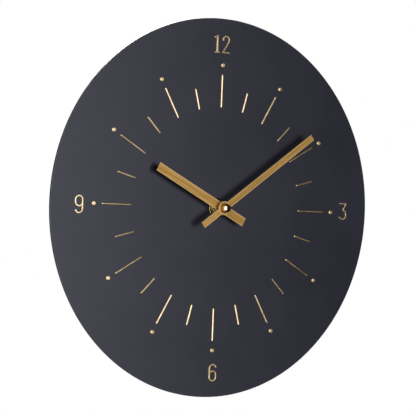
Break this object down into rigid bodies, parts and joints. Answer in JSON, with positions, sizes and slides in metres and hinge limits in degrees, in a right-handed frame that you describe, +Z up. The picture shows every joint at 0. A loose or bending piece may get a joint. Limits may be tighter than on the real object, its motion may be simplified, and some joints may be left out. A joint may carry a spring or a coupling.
{
  "type": "wall clock",
  "caption": "Round wall clock with a charcoal metal dial, raised gilt bars, dots and numerals, two gilt bar hands and a battery quartz movement behind.",
  "frame": {"origin": "where the hands' axis meets the wall, on the back face of the movement's cover", "axes": "+X to the right of the dial, +Y into the wall, +Z up to 12"},
  "size_m": [0.3, 0.0373, 0.3],
  "materials": {
    "dial_coating": "charcoal powder coat, satin",
    "gilt_marks": "satin gilt",
    "gilt_hands": "gold anodised, brushed along the hand",
    "polished_gilt": "polished",
    "plain_brass": "turned",
    "gasket_rubber": "matte",
    "plated_steel": "zinc plated",
    "black_moulding": "fine spark texture",
    "natural_moulding": "smooth",
    "gear_moulding": "smooth",
    "ferrite": "ground",
    "motor_iron": "stamped sheet",
    "bobbin_moulding": "smooth",
    "copper_wire": "enamelled",
    "board_laminate": "solder resist",
    "crystal_can": "bright",
    "chip_epoxy": "poured drop",
    "knob_moulding": "smooth",
    "cell_jacket": "printed jacket",
    "contact_plating": "nickel plated"
  },
  "bodies": {
    "clock": {"dial_plate": "dial_coating", "hour_bars": "gilt_marks", "half_hour_bars": "gilt_marks", "hour_dots": "gilt_marks", "numeral_12": "gilt_marks", "numeral_3": "gilt_marks", "numeral_6": "gilt_marks", "numeral_9": "gilt_marks", "dial_nut": "plain_brass", "dial_washer": "plain_brass", "dial_gasket": "gasket_rubber", "hanger_strap": "plated_steel", "front_case": "black_moulding", "shaft_bush": "plain_brass", "rear_cover": "black_moulding", "middle_plate": "natural_moulding", "gear_bridge": "natural_moulding", "bridge_screws": "plated_steel", "stator": "motor_iron", "coil_core": "motor_iron", "coil_bobbin": "bobbin_moulding", "coil_winding": "copper_wire", "circuit_board": "board_laminate", "quartz_crystal": "crystal_can", "controller_chip": "chip_epoxy", "battery_cell": "cell_jacket", "contact_positive": "contact_plating", "contact_negative": "contact_plating"},
    "minute": {"minute_pipe": "plain_brass", "centre_wheel": "gear_moulding", "minute_hand": "gilt_hands", "cap_nut": "polished_gilt"},
    "hour": {"hour_wheel": "gear_moulding", "hour_hand": "gilt_hands", "hour_hand_collet": "plain_brass"},
    "motion": {"motion_wheel": "gear_moulding"},
    "setting": {"setting_arbor": "gear_moulding", "setting_knob": "knob_moulding"},
    "third": {"third_wheel": "gear_moulding"},
    "second": {"second_wheel": "gear_moulding"},
    "intermediate": {"intermediate_wheel": "gear_moulding"},
    "rotor": {"rotor_pinion": "gear_moulding", "rotor_magnet": "ferrite"}
  },
  "joints": [
    {"name": "minute_turn", "type": "hinge", "parent": "clock", "child": "minute", "pos_m": [0, -0.025, 0], "axis": [0, 1, 0], "continuous": true},
    {"name": "hour_turn", "type": "hinge", "parent": "clock", "child": "hour", "pos_m": [0, -0.022, 0], "axis": [0, 1, 0], "continuous": true},
    {"name": "motion_turn", "type": "hinge", "parent": "clock", "child": "motion", "pos_m": [-0.008, -0.0123, 0], "axis": [0, 1, 0], "continuous": true},
    {"name": "setting_turn", "type": "hinge", "parent": "clock", "child": "setting", "pos_m": [-0.016, -0.008, 0], "axis": [0, 1, 0], "continuous": true},
    {"name": "third_turn", "type": "hinge", "parent": "clock", "child": "third", "pos_m": [-0.00444, -0.008, 0.00952], "axis": [0, 1, 0], "continuous": true},
    {"name": "second_turn", "type": "hinge", "parent": "clock", "child": "second", "pos_m": [0, -0.0064, 0], "axis": [0, 1, 0], "continuous": true},
    {"name": "intermediate_turn", "type": "hinge", "parent": "clock", "child": "intermediate", "pos_m": [0.00662, -0.005, 0.00555], "axis": [0, 1, 0], "continuous": true},
    {"name": "rotor_turn", "type": "hinge", "parent": "clock", "child": "rotor", "pos_m": [0.01206, -0.006, 0.011], "axis": [0, 1, 0], "continuous": true}
  ],
  "couplings": [
    {"joint": "hour_turn", "follows": "minute_turn", "ratio": 0.083333},
    {"joint": "motion_turn", "follows": "minute_turn", "ratio": -0.33333},
    {"joint": "setting_turn", "follows": "minute_turn", "ratio": 1},
    {"joint": "third_turn", "follows": "minute_turn", "ratio": -8},
    {"joint": "second_turn", "follows": "minute_turn", "ratio": 60},
    {"joint": "intermediate_turn", "follows": "minute_turn", "ratio": -300},
    {"joint": "rotor_turn", "follows": "minute_turn", "ratio": 1800}
  ]
}
